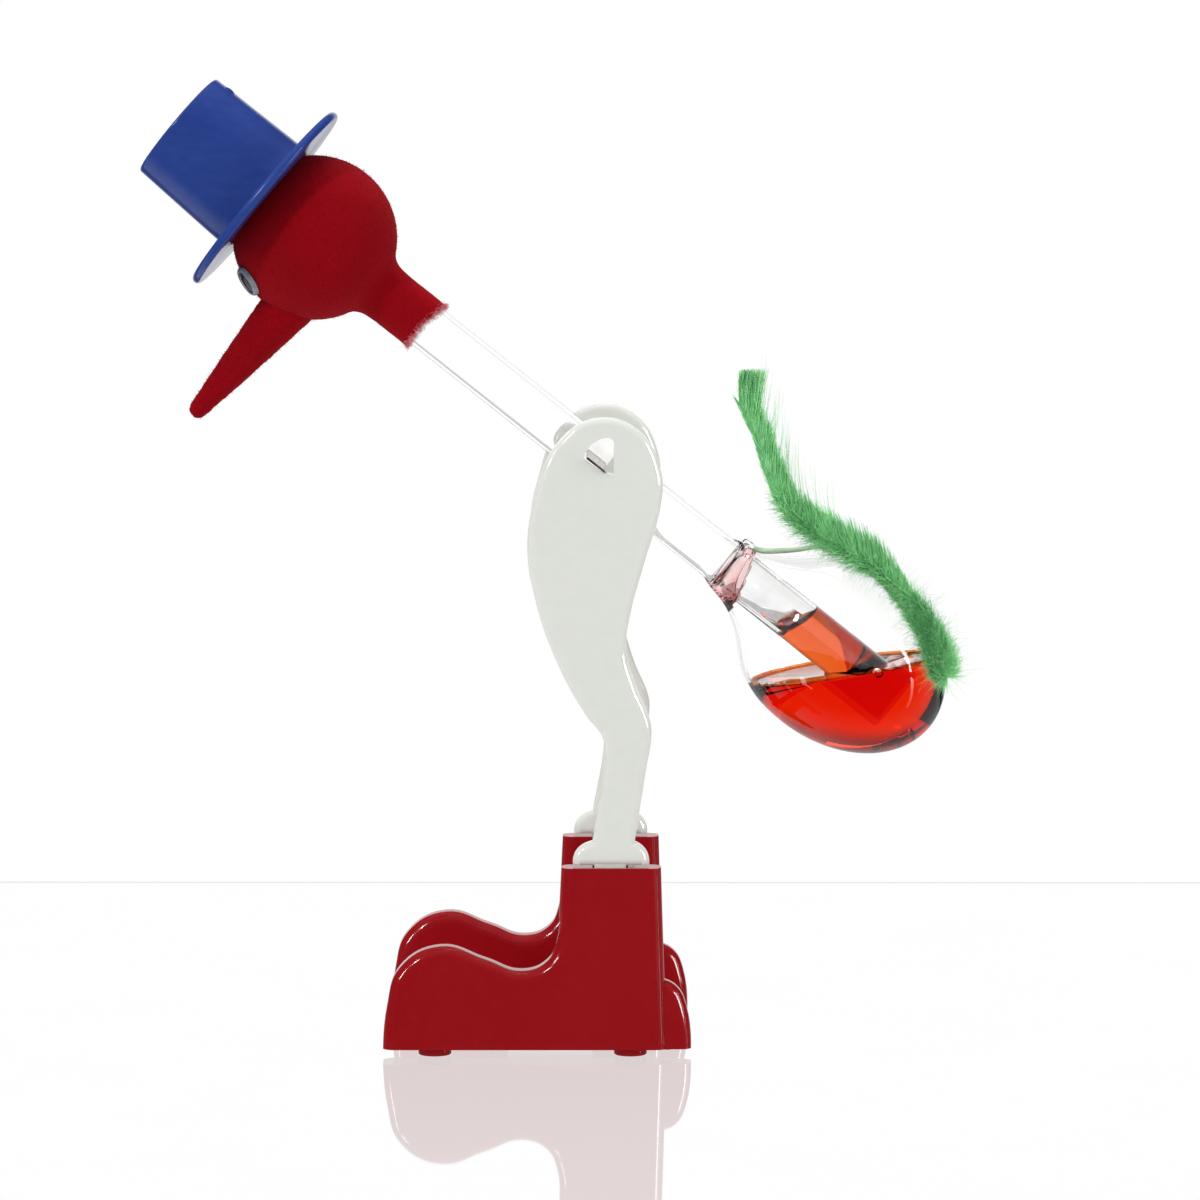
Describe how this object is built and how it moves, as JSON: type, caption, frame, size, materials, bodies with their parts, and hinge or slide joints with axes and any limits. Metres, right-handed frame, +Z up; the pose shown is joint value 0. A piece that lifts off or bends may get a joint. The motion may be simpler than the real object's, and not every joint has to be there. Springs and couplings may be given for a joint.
{
  "type": "drinking bird",
  "caption": "Glass drinking bird with felt head, top hat and tail feather, rocking on a metal clip between two booted legs.",
  "frame": {"origin": "on the surface the toy stands on, under the middle of its outer box in the pose shown", "axes": "+Z up, -X the way the bird faces and dips, +Y the bird's right-hand side, along the pivot blades"},
  "size_m": [0.131, 0.0428, 0.1531],
  "materials": {
    "clear_glass": "polished",
    "red_liquid": "gloss",
    "red_felt": null,
    "blue_plastic": null,
    "red_plastic": null,
    "milky_plastic": null,
    "nickel_sheet": null,
    "green_feather": null,
    "pale_quill": null,
    "clear_glue": null,
    "white_eye": null,
    "black_eye": null
  },
  "bodies": {
    "stand": {"left_leg": "milky_plastic", "right_leg": "milky_plastic", "left_boot": "red_plastic", "right_boot": "red_plastic", "left_front_pad": "red_plastic", "left_rear_pad": "red_plastic", "right_front_pad": "red_plastic", "right_rear_pad": "red_plastic", "base_bridge": "red_plastic"},
    "bird": {"glass_tube": "clear_glass", "lower_bulb": "clear_glass", "liquid_pool": "red_liquid", "liquid_column": "red_liquid", "pivot_clip": "nickel_sheet", "head_felt": "red_felt", "beak": "red_felt", "left_eye": "white_eye", "right_eye": "white_eye", "left_pupil": "black_eye", "right_pupil": "black_eye", "hat": "blue_plastic", "feather_quill": "pale_quill", "feather_plume": "green_feather", "feather_glue": "clear_glue"}
  },
  "joints": [
    {"name": "bird_swing", "type": "hinge", "parent": "stand", "child": "bird", "pos_m": [0.00834, 0, 0.0922], "axis": [0, 1, 0], "range_deg": [-3, 61.5]}
  ]
}
